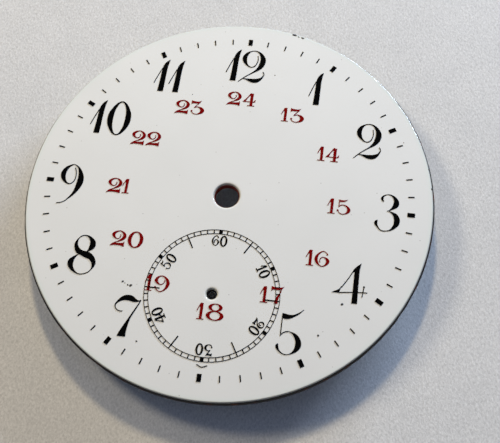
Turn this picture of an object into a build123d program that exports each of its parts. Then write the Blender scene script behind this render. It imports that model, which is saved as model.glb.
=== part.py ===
from build123d import *
import math
import os

os.makedirs("parts", exist_ok=True)

# The dial lies face up. Its frame has +Z out of the face, +Y towards twelve o'clock,
# and its origin on the axis of the centre hole, at the back of the copper plate.

# Plate and its two coats of enamel
dial_radius = 20.5
dome_rise = 0.4
copper_thickness = 0.3
front_enamel_thickness = 0.4
counter_enamel_thickness = 0.2
cut_overrun = 1.0

# Bare copper lip round the edge, below the rounded shoulder of the enamel
lip_width = 0.17
lip_depth = 0.22
lip_round_share = 0.3
shoulder_round_share = 0.9
counter_enamel_margin = 0.35
counter_enamel_round_share = 0.6

# Holes, each with a collar of copper turned up into the enamel
centre_bore_radius = 1.2
seconds_bore_radius = 0.45
collar_wall = 0.12
collar_rise = 0.12
collar_ledge = 0.06
mouth_round_share = 0.7
counter_hole_margin = 0.06

# Copper feet, each a pin with a thicker root, brazed to the back of the plate
foot_radius = 0.5
foot_drop = 3.0
foot_margin = 3.5
foot_angles = (30, 145, 265)
foot_chamfer = 0.08
root_radius = 0.8
root_show = 0.08
braze_fillet = 0.25
braze_edge = 0.06

# Fired print
print_thickness = 0.03

# Minute track
mark_margin = 1.93
baton_length = 0.74
baton_width = 0.43
minute_length = 0.62
minute_width = 0.12

# Hour numerals
hour_gap = 0.63
hour_height = 4.0
hour_hairline = 0.085

# Red numerals of the afternoon hours
red_gap = 1.15
red_height = 1.6
red_hairline = 0.075
eighteen_gap = 0.5

# Seconds track, which fills the room between the centre hole and the minute track
seconds_head_gap = 2.5
seconds_foot_gap = 1.13
seconds_band = 0.4
seconds_line = 0.06
second_width = 0.1
ten_second_width = 0.35
five_second_reach = 1.05
five_second_width = 0.12

# Seconds numerals
seconds_gap = 0.16
seconds_height = 1.07
seconds_hairline = 0.085

# Spheres on which the faces of the layers lie, all about one centre
face_sphere = (dial_radius**2 + dome_rise**2) / (2 * dome_rise)
copper_face_sphere = face_sphere - front_enamel_thickness
copper_back_sphere = copper_face_sphere - copper_thickness
counter_sphere = copper_back_sphere - counter_enamel_thickness
print_sphere = face_sphere + print_thickness
dome_centre = -copper_back_sphere

# Rings that follow from the sizes above
lip_inner_radius = dial_radius - lip_width
mark_ring = dial_radius - mark_margin - baton_length / 2
hour_ring = mark_ring - baton_length / 2 - hour_gap - hour_height / 2
red_ring = hour_ring - hour_height / 2 - red_gap - red_height / 2
foot_ring = dial_radius - foot_margin
seconds_head = centre_bore_radius + seconds_head_gap
seconds_foot = mark_ring - baton_length / 2 - seconds_foot_gap
seconds_drop = (seconds_foot + seconds_head) / 2
seconds_radius = (seconds_foot - seconds_head) / 2
seconds_inner_radius = seconds_radius - seconds_band
seconds_numeral_foot = seconds_inner_radius - seconds_line / 2 - seconds_gap - seconds_height

# Digits, drawn as a pen draws them. Each point is a share of the digit's height:
# how far it is across from the middle line, then how far up from the foot.
# A broad stroke has a left and a right edge, and a hair is a path of one width.
# A ball has a middle and a diameter, and a ring has a middle, two outer and two inner radii.
# Only the foot of the bold six shows, below the seconds track.
bold_digit_shares = {
    "1": {
        "broad": [
            ([(-0.075, 0), (-0.065, 0.2), (-0.055, 0.45), (-0.05, 0.68), (-0.025, 0.82), (0.03, 0.915),
              (0.11, 0.985)],
             [(0.075, 0), (0.08, 0.3), (0.08, 0.6), (0.095, 0.85), (0.12, 0.985)]),
        ],
        "hair": [
            [(-0.205, 0.24), (-0.13, 0.48), (-0.05, 0.71)],
        ],
    },
    "2": {
        "broad": [
            ([(0.1, 0.84), (0.12, 0.71), (0.1, 0.595), (0.045, 0.495), (-0.04, 0.46), (-0.16, 0.505),
              (-0.26, 0.6), (-0.31, 0.725), (-0.27, 0.86), (-0.15, 0.96), (-0.01, 1)],
             [(0.08, 0.84), (0.1, 0.71), (0.08, 0.605), (0.03, 0.515), (-0.04, 0.48), (-0.125, 0.525),
              (-0.175, 0.625), (-0.19, 0.725), (-0.17, 0.85), (-0.11, 0.945), (-0.01, 0.98)]),
            ([(-0.01, 1), (0.125, 0.97), (0.24, 0.875), (0.31, 0.75), (0.31, 0.61), (0.25, 0.475),
              (0.125, 0.36), (0.01, 0.285), (-0.09, 0.21), (-0.165, 0.15), (-0.25, 0.065),
              (-0.335, -0.015)],
             [(-0.01, 0.98), (0.09, 0.94), (0.15, 0.85), (0.175, 0.725), (0.16, 0.6), (0.13, 0.49),
              (0.07, 0.39), (-0.02, 0.295), (-0.1, 0.23), (-0.185, 0.16), (-0.265, 0.08),
              (-0.345, -0.005)]),
            ([(-0.21, 0.11), (-0.14, 0.11), (0.01, 0.11), (0.14, 0.125), (0.25, 0.175), (0.29, 0.24)],
             [(-0.21, 0.09), (-0.125, 0.07), (-0.04, 0.025), (0.075, 0), (0.175, 0.02), (0.26, 0.095),
              (0.31, 0.195), (0.32, 0.245)]),
        ],
        "hair": [
            [(0.305, 0.215), (0.32, 0.26), (0.31, 0.31), (0.28, 0.35)],
        ],
    },
    "3": {
        "broad": [
            ([(-0.12, 0.775), (-0.18, 0.825), (-0.19, 0.875), (-0.165, 0.92), (-0.11, 0.96),
              (-0.01, 0.99)],
             [(-0.11, 0.8), (-0.13, 0.84), (-0.13, 0.875), (-0.11, 0.925), (-0.07, 0.96), (-0.01, 0.97)]),
            ([(-0.01, 0.99), (0.09, 0.975), (0.19, 0.91), (0.255, 0.81), (0.25, 0.71), (0.18, 0.63),
              (0.105, 0.59), (0.04, 0.55), (-0.02, 0.53)],
             [(-0.01, 0.97), (0.055, 0.95), (0.105, 0.9), (0.13, 0.81), (0.11, 0.71), (0.08, 0.635),
              (0.04, 0.59), (0.01, 0.56), (-0.025, 0.545)]),
            ([(0.02, 0.545), (0.09, 0.53), (0.18, 0.505), (0.27, 0.425), (0.305, 0.325), (0.285, 0.21),
              (0.22, 0.125), (0.105, 0.04), (0.005, 0.01), (-0.06, 0)],
             [(0.03, 0.53), (0.08, 0.495), (0.13, 0.44), (0.16, 0.34), (0.16, 0.225), (0.12, 0.125),
              (0.055, 0.05), (-0.01, 0.025), (-0.06, 0.02)]),
            ([(-0.06, 0), (-0.16, 0.02), (-0.245, 0.1), (-0.31, 0.19), (-0.3, 0.24), (-0.26, 0.275),
              (-0.23, 0.285)],
             [(-0.06, 0.02), (-0.145, 0.04), (-0.2, 0.1), (-0.23, 0.175), (-0.23, 0.26)]),
        ],
    },
    "4": {
        "broad": [
            ([(0.07, 0), (0.075, 0.26), (0.08, 0.635), (0.085, 0.78), (0.12, 0.89)],
             [(0.205, 0), (0.2, 0.26), (0.2, 0.635), (0.205, 0.86), (0.23, 1)]),
            ([(0.04, 0.775), (0.06, 0.84), (0.1, 0.89), (0.16, 0.95), (0.23, 1.01)],
             [(0.055, 0.765), (0.085, 0.775), (0.15, 0.82), (0.205, 0.9), (0.225, 0.99)]),
            ([(-0.205, 0.39), (-0.26, 0.31), (-0.325, 0.27), (-0.41, 0.22)],
             [(-0.18, 0.38), (-0.22, 0.3), (-0.23, 0.225)]),
        ],
        "hair": [
            [(0.045, 0.78), (-0.01, 0.67), (-0.1, 0.51), (-0.195, 0.36)],
            [(-0.24, 0.23), (0.075, 0.27), (0.42, 0.295)],
            [(0.335, 0.44), (0.32, 0.31), (0.305, 0.175)],
        ],
        "ball": [(0.335, 0.43, 0.045), (0.315, 0.295, 0.035)],
    },
    "5": {
        "broad": [
            ([(-0.21, 0.98), (-0.09, 0.96), (0.04, 0.96), (0.125, 1), (0.2, 1.05), (0.27, 1.115)],
             [(-0.21, 0.86), (-0.11, 0.845), (-0.01, 0.87), (0.075, 0.92), (0.15, 0.97), (0.21, 1.025),
              (0.28, 1.105)]),
            ([(-0.04, 0.565), (0.075, 0.545), (0.19, 0.49), (0.27, 0.39), (0.3, 0.275), (0.27, 0.175),
              (0.19, 0.09), (0.075, 0.03), (-0.04, 0)],
             [(-0.04, 0.55), (0.04, 0.525), (0.11, 0.45), (0.155, 0.35), (0.16, 0.25), (0.14, 0.15),
              (0.09, 0.075), (0.025, 0.03), (-0.04, 0.02)]),
            ([(-0.04, 0), (-0.14, 0.025), (-0.225, 0.08), (-0.285, 0.16), (-0.285, 0.21), (-0.26, 0.24),
              (-0.23, 0.25)],
             [(-0.04, 0.02), (-0.125, 0.045), (-0.19, 0.1), (-0.22, 0.175), (-0.23, 0.24)]),
        ],
        "hair": [
            [(-0.205, 0.975), (-0.205, 0.43)],
            [(-0.205, 0.45), (-0.16, 0.505), (-0.1, 0.54), (-0.025, 0.555)],
        ],
    },
    "6": {
        "hair": [
            [(-0.105, 0.05), (-0.05, 0.025), (0.01, 0), (0.075, 0.015), (0.15, 0.045)],
        ],
    },
    "7": {
        "broad": [
            ([(-0.31, 0.69), (-0.31, 0.77), (-0.26, 0.855), (-0.2, 0.93), (-0.11, 0.99), (0, 1.01),
              (0.1, 0.985), (0.175, 0.93), (0.225, 0.905), (0.295, 0.91)],
             [(-0.285, 0.7), (-0.28, 0.755), (-0.24, 0.805), (-0.16, 0.855), (-0.05, 0.875),
              (0.075, 0.86), (0.16, 0.85), (0.24, 0.87), (0.295, 0.885)]),
            ([(0.28, 0.89), (0.24, 0.805), (0.18, 0.68), (0.12, 0.555), (0.06, 0.43), (0, 0.305),
              (-0.06, 0.18), (-0.13, 0)],
             [(0.3, 0.9), (0.27, 0.805), (0.215, 0.68), (0.16, 0.555), (0.115, 0.43), (0.09, 0.305),
              (0.075, 0.18), (0.075, 0)]),
        ],
        "hair": [
            [(-0.1, 0.605), (-0.2, 0.605), (-0.26, 0.64), (-0.3, 0.705)],
        ],
        "ball": [(0.29, 0.9, 0.035)],
    },
    "8": {
        "broad": [
            ([(-0.05, 1.02), (0.05, 1.01), (0.15, 0.96), (0.225, 0.89), (0.255, 0.8), (0.24, 0.71),
              (0.175, 0.645), (0.11, 0.61)],
             [(-0.05, 0.995), (0, 0.99), (0.06, 0.94), (0.105, 0.85), (0.11, 0.775), (0.1, 0.7),
              (0.075, 0.625), (0.06, 0.6)]),
            ([(-0.2, 0.925), (-0.25, 0.85), (-0.275, 0.76), (-0.26, 0.675), (-0.225, 0.59),
              (-0.15, 0.52), (-0.075, 0.495), (0.05, 0.44), (0.15, 0.41), (0.225, 0.34), (0.26, 0.24),
              (0.25, 0.16)],
             [(-0.18, 0.925), (-0.2, 0.85), (-0.19, 0.76), (-0.15, 0.69), (-0.1, 0.645), (-0.025, 0.61),
              (0.06, 0.605), (0.15, 0.58), (0.25, 0.51), (0.32, 0.41), (0.345, 0.31), (0.32, 0.225),
              (0.26, 0.14)]),
            ([(-0.14, 0.51), (-0.2, 0.47), (-0.285, 0.41), (-0.345, 0.325), (-0.34, 0.225),
              (-0.275, 0.125), (-0.175, 0.055), (-0.075, 0.015), (0.025, 0)],
             [(-0.115, 0.51), (-0.16, 0.455), (-0.2, 0.375), (-0.21, 0.275), (-0.19, 0.175),
              (-0.13, 0.09), (-0.06, 0.04), (0.025, 0.025)]),
        ],
        "hair": [
            [(-0.05, 1.01), (-0.125, 0.99), (-0.195, 0.915)],
            [(0.26, 0.155), (0.19, 0.075), (0.1, 0.03), (0.01, 0.01)],
        ],
    },
    "9": {
        "broad": [
            ([(-0.03, 0.975), (-0.115, 0.945), (-0.22, 0.875), (-0.29, 0.775), (-0.31, 0.675),
              (-0.28, 0.56), (-0.205, 0.475), (-0.115, 0.42), (-0.04, 0.405)],
             [(-0.03, 0.955), (-0.09, 0.91), (-0.15, 0.825), (-0.18, 0.71), (-0.175, 0.6),
              (-0.14, 0.51), (-0.09, 0.45), (-0.04, 0.43)]),
            ([(-0.03, 0.975), (0.07, 0.945), (0.16, 0.875), (0.245, 0.76), (0.3, 0.625), (0.31, 0.5),
              (0.28, 0.375), (0.22, 0.25), (0.13, 0.125), (0.03, 0.02), (-0.03, -0.03)],
             [(-0.03, 0.96), (0.03, 0.94), (0.095, 0.875), (0.14, 0.76), (0.155, 0.625), (0.145, 0.45),
              (0.12, 0.275), (0.075, 0.15), (0.02, 0.06), (-0.03, -0.005)]),
        ],
        "hair": [
            [(-0.04, 0.42), (0.02, 0.445), (0.07, 0.51), (0.09, 0.6), (0.08, 0.74), (0.03, 0.875)],
            [(-0.015, -0.01), (-0.08, -0.07), (-0.155, -0.105), (-0.26, -0.13)],
        ],
    },
    "0": {
        "broad": [
            ([(0, 1.01), (-0.085, 0.98), (-0.165, 0.9), (-0.24, 0.775), (-0.295, 0.64), (-0.31, 0.5),
              (-0.295, 0.35), (-0.24, 0.215), (-0.165, 0.1), (-0.085, 0.025), (0, 0)],
             [(0, 0.98), (-0.05, 0.95), (-0.1, 0.87), (-0.145, 0.72), (-0.16, 0.5), (-0.145, 0.28),
              (-0.1, 0.13), (-0.05, 0.05), (0, 0.025)]),
            ([(0, 1.01), (0.085, 0.98), (0.165, 0.9), (0.24, 0.775), (0.295, 0.64), (0.31, 0.5),
              (0.295, 0.35), (0.24, 0.215), (0.165, 0.1), (0.085, 0.025), (0, 0)],
             [(0, 0.98), (0.05, 0.95), (0.1, 0.87), (0.145, 0.72), (0.16, 0.5), (0.145, 0.28),
              (0.1, 0.13), (0.05, 0.05), (0, 0.025)]),
        ],
    },
}

light_digit_shares = {
    "1": {
        "broad": [
            ([(-0.08, 0), (-0.08, 0.86)],
             [(0.085, 0), (0.085, 0.99)]),
            ([(-0.15, 0.8), (-0.12, 0.92), (-0.07, 0.99)],
             [(-0.09, 0.72), (0, 0.84), (0.085, 0.99)]),
        ],
        "hair": [
            [(-0.255, 0.5), (-0.19, 0.69), (-0.12, 0.85)],
            [(-0.235, 0.02), (0.21, 0.02)],
        ],
    },
    "2": {
        "broad": [
            ([(0.03, 0.99), (-0.19, 0.95), (-0.375, 0.845), (-0.455, 0.72), (-0.405, 0.59),
              (-0.28, 0.48), (-0.095, 0.42)],
             [(0.03, 0.94), (-0.11, 0.89), (-0.22, 0.79), (-0.255, 0.67), (-0.215, 0.565),
              (-0.155, 0.505), (-0.095, 0.47)]),
            ([(0.03, 0.99), (0.25, 0.92), (0.42, 0.76), (0.455, 0.605), (0.375, 0.45), (0.22, 0.34),
              (0, 0.245)],
             [(0.03, 0.94), (0.155, 0.855), (0.24, 0.73), (0.24, 0.605), (0.155, 0.46), (0.03, 0.355),
              (-0.04, 0.29)]),
            ([(-0.47, -0.01), (-0.375, 0.095), (-0.25, 0.16), (0, 0.17), (0.19, 0.185), (0.35, 0.21)],
             [(-0.44, -0.035), (-0.31, 0.01), (0, 0.025), (0.25, 0), (0.375, -0.04)]),
        ],
        "hair": [
            [(-0.095, 0.44), (0.05, 0.51), (0.105, 0.625), (0.08, 0.73)],
            [(-0.01, 0.27), (-0.19, 0.2), (-0.375, 0.08)],
            [(0.375, -0.04), (0.375, 0.28)],
        ],
    },
    "3": {
        "broad": [
            ([(-0.44, 0.99), (-0.23, 0.955), (0.02, 0.955), (0.145, 1), (0.19, 1.03)],
             [(-0.42, 0.79), (-0.23, 0.81), (-0.01, 0.825), (0.08, 0.875), (0.19, 1.02)]),
            ([(-0.075, 0.575), (0.145, 0.56), (0.33, 0.48), (0.445, 0.31), (0.395, 0.155), (0.24, 0.05),
              (0.05, -0.005), (-0.105, -0.01)],
             [(-0.075, 0.53), (0.05, 0.5), (0.155, 0.405), (0.195, 0.28), (0.145, 0.145), (0.02, 0.05),
              (-0.105, 0.03)]),
        ],
        "hair": [
            [(-0.43, 1.02), (-0.43, 0.75)],
            [(0.1, 0.9), (-0.045, 0.72), (-0.17, 0.58), (-0.23, 0.48)],
            [(-0.21, 0.48), (-0.13, 0.53), (-0.06, 0.55)],
            [(-0.095, 0.01), (-0.26, 0.06), (-0.355, 0.155)],
        ],
        "ball": [(-0.37, 0.23, 0.125)],
    },
    "4": {
        "broad": [
            ([(0.045, 0), (0.045, 0.6), (0.045, 0.84)],
             [(0.225, 0), (0.225, 0.6), (0.235, 0.96)]),
            ([(-0.045, 0.8), (0, 0.925), (0.06, 0.97)],
             [(0.01, 0.76), (0.1, 0.86), (0.2, 0.92)]),
            ([(-0.02, 0.88), (-0.14, 0.675), (-0.27, 0.49), (-0.44, 0.3)],
             [(0.03, 0.84), (-0.08, 0.66), (-0.175, 0.49), (-0.24, 0.29)]),
        ],
        "hair": [
            [(-0.42, 0.31), (0.33, 0.31)],
            [(0.31, 0.31), (0.39, 0.47)],
            [(-0.1, 0.02), (0.36, 0.02)],
        ],
        "ball": [(0.345, 0.35, 0.105)],
    },
    "5": {
        "broad": [
            ([(-0.325, 0.97), (-0.125, 0.94), (0.06, 0.955), (0.22, 1.02)],
             [(-0.31, 0.825), (-0.125, 0.825), (0.03, 0.86), (0.2, 0.99)]),
            ([(-0.06, 0.66), (0.125, 0.63), (0.31, 0.52), (0.425, 0.345), (0.39, 0.19), (0.25, 0.075),
              (0.095, 0.02), (-0.06, 0)],
             [(-0.06, 0.61), (0.095, 0.56), (0.2, 0.455), (0.23, 0.31), (0.19, 0.175), (0.075, 0.075),
              (-0.06, 0.04)]),
        ],
        "hair": [
            [(-0.29, 0.94), (-0.29, 0.47)],
            [(-0.29, 0.48), (-0.19, 0.595), (-0.05, 0.635)],
            [(-0.05, 0.02), (-0.22, 0.08), (-0.31, 0.17)],
        ],
        "ball": [(-0.35, 0.245, 0.12)],
    },
    "6": {
        "broad": [
            ([(0.045, 1), (-0.145, 0.92), (-0.33, 0.75), (-0.445, 0.5), (-0.395, 0.28), (-0.24, 0.105),
              (-0.05, 0.01), (0.045, 0)],
             [(0.045, 0.955), (-0.1, 0.86), (-0.22, 0.69), (-0.255, 0.47), (-0.205, 0.25),
              (-0.11, 0.11), (0.045, 0.045)]),
            ([(0.075, 0.625), (0.23, 0.595), (0.39, 0.5), (0.455, 0.36), (0.39, 0.2), (0.23, 0.06),
              (0.045, 0)],
             [(0.075, 0.58), (0.17, 0.53), (0.245, 0.405), (0.25, 0.28), (0.19, 0.145), (0.045, 0.045)]),
        ],
        "hair": [
            [(0.03, 0.98), (0.2, 0.92), (0.295, 0.81)],
            [(0.09, 0.6), (-0.06, 0.55), (-0.125, 0.405), (-0.105, 0.25)],
        ],
        "ball": [(0.295, 0.79, 0.1)],
    },
    "7": {
        "broad": [
            ([(-0.345, 1.03), (-0.155, 1.01), (0.095, 1.01), (0.28, 1.03), (0.39, 1.095)],
             [(-0.31, 0.83), (-0.125, 0.845), (0.095, 0.845), (0.25, 0.905), (0.38, 1.07)]),
            ([(0.22, 0.875), (0.145, 0.655), (0, 0.405), (-0.075, 0.22), (-0.105, 0)],
             [(0.27, 0.905), (0.22, 0.655), (0.145, 0.405), (0.11, 0.22), (0.105, 0)]),
        ],
        "hair": [
            [(-0.33, 1.05), (-0.33, 0.78)],
        ],
    },
    "8": {
        "ring": [
            (0, 0.795, 0.425, 0.235, 0.215, 0.185),
            (0.02, 0.295, 0.525, 0.29, 0.3, 0.235),
        ],
    },
    "9": {
        "broad": [
            ([(-0.06, 1.01), (-0.28, 0.94), (-0.44, 0.78), (-0.47, 0.69), (-0.375, 0.53), (-0.22, 0.44),
              (-0.06, 0.41)],
             [(-0.06, 0.955), (-0.19, 0.895), (-0.26, 0.78), (-0.26, 0.655), (-0.2, 0.545),
              (-0.06, 0.46)]),
            ([(-0.06, 1.01), (0.155, 0.955), (0.375, 0.78), (0.47, 0.56), (0.425, 0.345), (0.28, 0.155),
              (0.095, 0.02), (-0.03, -0.03)],
             [(-0.06, 0.955), (0.095, 0.875), (0.22, 0.72), (0.26, 0.53), (0.23, 0.31), (0.14, 0.145),
              (-0.03, 0.03)]),
        ],
        "hair": [
            [(-0.075, 0.435), (0.06, 0.5), (0.14, 0.625), (0.15, 0.75)],
            [(-0.015, 0), (-0.19, 0.05), (-0.31, 0.14), (-0.375, 0.25)],
        ],
        "ball": [(-0.375, 0.27, 0.11)],
    },
    "0": {
        "ring": [
            (0, 0.515, 0.48, 0.535, 0.26, 0.465),
        ],
    },
}

seconds_zero_shares = {
    "ring": [
        (0, 0.5, 0.34, 0.525, 0.16, 0.41),
    ],
}

# For each hour, its digits, and how far each stands across and above its place on the ring
hour_numeral_shares = {
    1: [("1", 0.025, 0.015)],
    2: [("2", 0.07, 0)],
    3: [("3", 0.18, 0)],
    4: [("4", -0.065, 0.01)],
    5: [("5", 0.04, 0)],
    6: [("6", 0, 0)],
    7: [("7", -0.05, -0.015)],
    8: [("8", 0.015, -0.025)],
    9: [("9", -0.195, 0)],
    10: [("1", -0.35, 0.02), ("0", 0.175, 0)],
    11: [("1", -0.29, 0.025), ("1", 0.11, 0.025)],
    12: [("1", -0.325, 0.02), ("2", 0.16, 0.005)],
}

# The same for each hour after noon
red_numeral_shares = {
    13: [("1", -0.56, 0), ("3", 0.215, 0)],
    14: [("1", -0.53, 0.03), ("4", 0.16, 0.03)],
    15: [("1", -0.5, 0.05), ("5", 0.22, 0.05)],
    16: [("1", -0.515, 0.08), ("6", 0.18, 0.08)],
    17: [("1", -0.38, 0.06), ("7", 0.33, 0.06)],
    18: [("1", -0.46, 0), ("8", 0.355, 0)],
    19: [("1", -0.315, 0), ("9", 0.455, 0)],
    20: [("2", -0.12, 0.03), ("0", 0.94, 0)],
    21: [("2", -0.105, 0), ("1", 0.655, 0)],
    22: [("2", -0.16, -0.03), ("2", 0.84, -0.03)],
    23: [("2", -0.265, -0.075), ("3", 0.745, -0.075)],
    24: [("2", -0.49, -0.06), ("4", 0.51, -0.06)],
}

# For each ten seconds, its first digit, how far that stands across and how wide it is drawn,
# and how far the zero stands across
seconds_numeral_shares = {
    10: ("1", -0.42, 0.85, 0.17),
    20: ("2", -0.375, 0.72, 0.375),
    30: ("3", -0.42, 0.8, 0.335),
    40: ("4", -0.3, 0.95, 0.43),
    50: ("5", -0.3, 0.72, 0.45),
    60: ("6", -0.375, 0.75, 0.375),
}


def height_at(sphere, distance):
    """Height of the upper side of a sphere, at a distance from the axis of the dial."""
    return dome_centre + math.sqrt(sphere**2 - distance**2)


def dome_arc(sphere, reach):
    """The line of one face of the dial in section, from the axis out to a distance."""
    end_angle = math.degrees(math.acos(reach / sphere))
    return CenterArc((0, dome_centre), sphere, 90, end_angle - 90)


def clock_place(ring, angle):
    """A point on a ring about the centre, at an angle in degrees clockwise from twelve."""
    return ring * math.sin(math.radians(angle)), ring * math.cos(math.radians(angle))


def seconds_plane(distance, angle):
    """A level plane at a distance from the seconds hole, whose Y axis points away from the hole."""
    across, up = clock_place(distance, angle)
    x_across, x_up = clock_place(1, angle + 90)
    return Plane(origin=(across, up - seconds_drop, 0), x_dir=(x_across, x_up, 0), z_dir=(0, 0, 1))


def sized(shares, foot, height, width_share):
    """Points in real sizes, from shares of a digit's height and the place of its foot."""
    return [(foot[0] + across * width_share * height, foot[1] + up * height) for across, up in shares]


def broad_stroke(left, right):
    """Fill a stroke between two edges, each a straight line or a smooth curve."""
    with BuildLine() as outline:
        for edge in (left, right):
            if len(edge) == 2:
                Line(*edge)
            else:
                Spline(*edge)
        for start, end in ((left[0], right[0]), (left[-1], right[-1])):
            if start != end:
                Line(start, end)
    make_face(outline.edges())


def hair_stroke(path, width):
    """Fill a stroke of one width along a path."""
    left = []
    right = []
    for number, (x, y) in enumerate(path):
        before = path[max(number - 1, 0)]
        after = path[min(number + 1, len(path) - 1)]
        half_share = width / 2 / math.dist(before, after)
        across = (before[1] - after[1]) * half_share
        up = (after[0] - before[0]) * half_share
        left.append((x + across, y + up))
        right.append((x - across, y - up))
    broad_stroke(left, right)


def draw_digit(shape, foot, height, hairline, width_share=1):
    """Draw one digit in the open sketch."""
    for left, right in shape.get("broad", []):
        broad_stroke(sized(left, foot, height, width_share), sized(right, foot, height, width_share))
    for path in shape.get("hair", []):
        hair_stroke(sized(path, foot, height, width_share), hairline)
    for across, up, diameter_share in shape.get("ball", []):
        with Locations(*sized([(across, up)], foot, height, width_share)):
            Circle(diameter_share * height / 2)
    for across, up, wide, tall, inner_wide, inner_tall in shape.get("ring", []):
        with Locations(*sized([(across, up)], foot, height, width_share)):
            Ellipse(wide * width_share * height, tall * height)
    for across, up, wide, tall, inner_wide, inner_tall in shape.get("ring", []):
        with Locations(*sized([(across, up)], foot, height, width_share)):
            Ellipse(inner_wide * width_share * height, inner_tall * height, mode=Mode.SUBTRACT)


# The two balls have their poles level with the dial, so no seam crosses its faces.
ball_plane = Plane(origin=(0, 0, dome_centre), x_dir=(1, 0, 0), z_dir=(0, 1, 0))

# The space under the copper plate, which ends the feet and their braze
with BuildPart(ball_plane) as back_ball:
    Sphere(copper_back_sphere)

# The thin layer of print that can lie on the face
with BuildPart(ball_plane) as print_skin:
    Sphere(print_sphere)
    Sphere(face_sphere, mode=Mode.SUBTRACT)

# A drawing for the print lies level with the edge of the face and is raised through the dome.
print_floor = height_at(face_sphere, dial_radius)
print_travel = dome_rise + print_thickness + cut_overrun
print_plane = Plane.XY.offset(print_floor)


def fire_print():
    """Raise the drawing of the open part, and keep what lies in the layer of print."""
    extrude(amount=print_travel)
    add(print_skin.part, mode=Mode.INTERSECT)


# The place of each hole and its bore, and the places of the feet
holes = [((0, 0), centre_bore_radius), ((0, -seconds_drop), seconds_bore_radius)]
feet = [clock_place(foot_ring, angle) for angle in foot_angles]

# Sizes that the pieces share
lip_top = height_at(face_sphere, lip_inner_radius) - lip_depth
mouth_round = (front_enamel_thickness - collar_rise) * mouth_round_share
braze_radius = root_radius + braze_edge + braze_fillet
braze_level = height_at(counter_sphere, foot_ring) - braze_fillet
drill_start = -dome_rise - counter_enamel_thickness - cut_overrun
drill_length = copper_thickness + front_enamel_thickness + cut_overrun - drill_start
upwards = (Align.CENTER, Align.CENTER, Align.MIN)
downwards = (Align.CENTER, Align.CENTER, Align.MAX)


# Copper plate, domed, with its lip and its collars
with BuildPart() as copper_plate:
    with BuildSketch(Plane.XZ) as plate_section:
        with BuildLine():
            back = dome_arc(copper_back_sphere, dial_radius)
            face = dome_arc(copper_face_sphere, lip_inner_radius)
            Line(back @ 0, face @ 0)
            Polyline(face @ 1, (lip_inner_radius, lip_top), (dial_radius, lip_top), back @ 1)
        make_face()
        lip_corners = plate_section.vertices().sort_by_distance((dial_radius, lip_top))[:2]
        fillet(lip_corners, lip_width * lip_round_share)
    revolve(axis=Axis.Z)
    for (x, y), bore_radius in holes:
        collar_foot = height_at(copper_back_sphere, -y) + copper_thickness / 2
        with Locations((x, y, collar_foot)):
            Cylinder(bore_radius + collar_wall, copper_thickness / 2 + collar_rise, align=upwards)
        with Locations((x, y, drill_start)):
            Cylinder(bore_radius, drill_length, align=upwards, mode=Mode.SUBTRACT)
copper_plate.part.label = "copper_plate"


# White enamel of the face, over the plate and round the collars
with BuildPart() as front_enamel:
    with BuildSketch(Plane.XZ) as enamel_section:
        with BuildLine():
            back = dome_arc(copper_face_sphere, lip_inner_radius)
            face = dome_arc(face_sphere, lip_inner_radius)
            Line(back @ 0, face @ 0)
            Line(back @ 1, face @ 1)
        make_face()
        shoulder = enamel_section.vertices().sort_by_distance(face @ 1)[:1]
        fillet(shoulder, lip_depth * shoulder_round_share)
    revolve(axis=Axis.Z)
    for (x, y), bore_radius in holes:
        mouth_radius = bore_radius + collar_ledge
        with Locations((x, y, drill_start)):
            Cylinder(mouth_radius, drill_length, align=upwards, mode=Mode.SUBTRACT)
        mouth = front_enamel.edges().sort_by_distance((x, y + mouth_radius, height_at(face_sphere, -y)))[0]
        fillet(mouth, mouth_round)
        collar_top = height_at(copper_face_sphere, -y) + collar_rise
        with Locations((x, y, drill_start)):
            Cylinder(bore_radius + collar_wall, collar_top - drill_start, align=upwards, mode=Mode.SUBTRACT)
front_enamel.part.label = "front_enamel"


# Thinner enamel on the back, left open round the holes and the feet
with BuildPart() as counter_enamel:
    with BuildSketch(Plane.XZ) as counter_section:
        with BuildLine():
            back = dome_arc(counter_sphere, dial_radius - counter_enamel_margin)
            face = dome_arc(copper_back_sphere, dial_radius - counter_enamel_margin)
            Line(back @ 0, face @ 0)
            Line(back @ 1, face @ 1)
        make_face()
        rim_corner = counter_section.vertices().sort_by_distance(back @ 1)[:1]
        fillet(rim_corner, counter_enamel_thickness * counter_enamel_round_share)
    revolve(axis=Axis.Z)
    for (x, y), bore_radius in holes:
        with Locations((x, y, drill_start)):
            Cylinder(bore_radius + counter_hole_margin, drill_length, align=upwards, mode=Mode.SUBTRACT)
    for x, y in feet:
        with Locations((x, y, drill_start)):
            Cylinder(braze_radius, drill_length, align=upwards, mode=Mode.SUBTRACT)
counter_enamel.part.label = "counter_enamel"


# Feet, each a pin of copper with its root on the back of the plate, and its collar of braze
foot_parts = []
for number, (x, y) in enumerate(feet, start=1):
    with BuildPart() as dial_foot:
        with Locations((x, y, -foot_drop)):
            Cylinder(foot_radius, foot_drop, align=upwards)
        chamfer(dial_foot.edges().filter_by(GeomType.CIRCLE).sort_by(Axis.Z)[0], foot_chamfer)
        with Locations((x, y, 0)):
            Cylinder(root_radius, root_show - braze_level, align=downwards)
        add(back_ball.part, mode=Mode.INTERSECT)
    dial_foot.part.label = f"dial_foot_{number}"
    foot_parts.append(dial_foot.part)

    with BuildPart() as foot_braze:
        with BuildSketch(Plane(origin=(x, y, 0), x_dir=(1, 0, 0), z_dir=(0, -1, 0))):
            with BuildLine():
                hollow = CenterArc((braze_radius, braze_level), braze_fillet, 90, 90)
                Polyline(hollow @ 0, (braze_radius, 0), (root_radius, 0), (root_radius, braze_level), hollow @ 1)
            make_face()
        revolve(axis=Axis((x, y, 0), (0, 0, 1)))
        add(back_ball.part, mode=Mode.INTERSECT)
    foot_braze.part.label = f"foot_braze_{number}"
    foot_parts.append(foot_braze.part)


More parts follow.
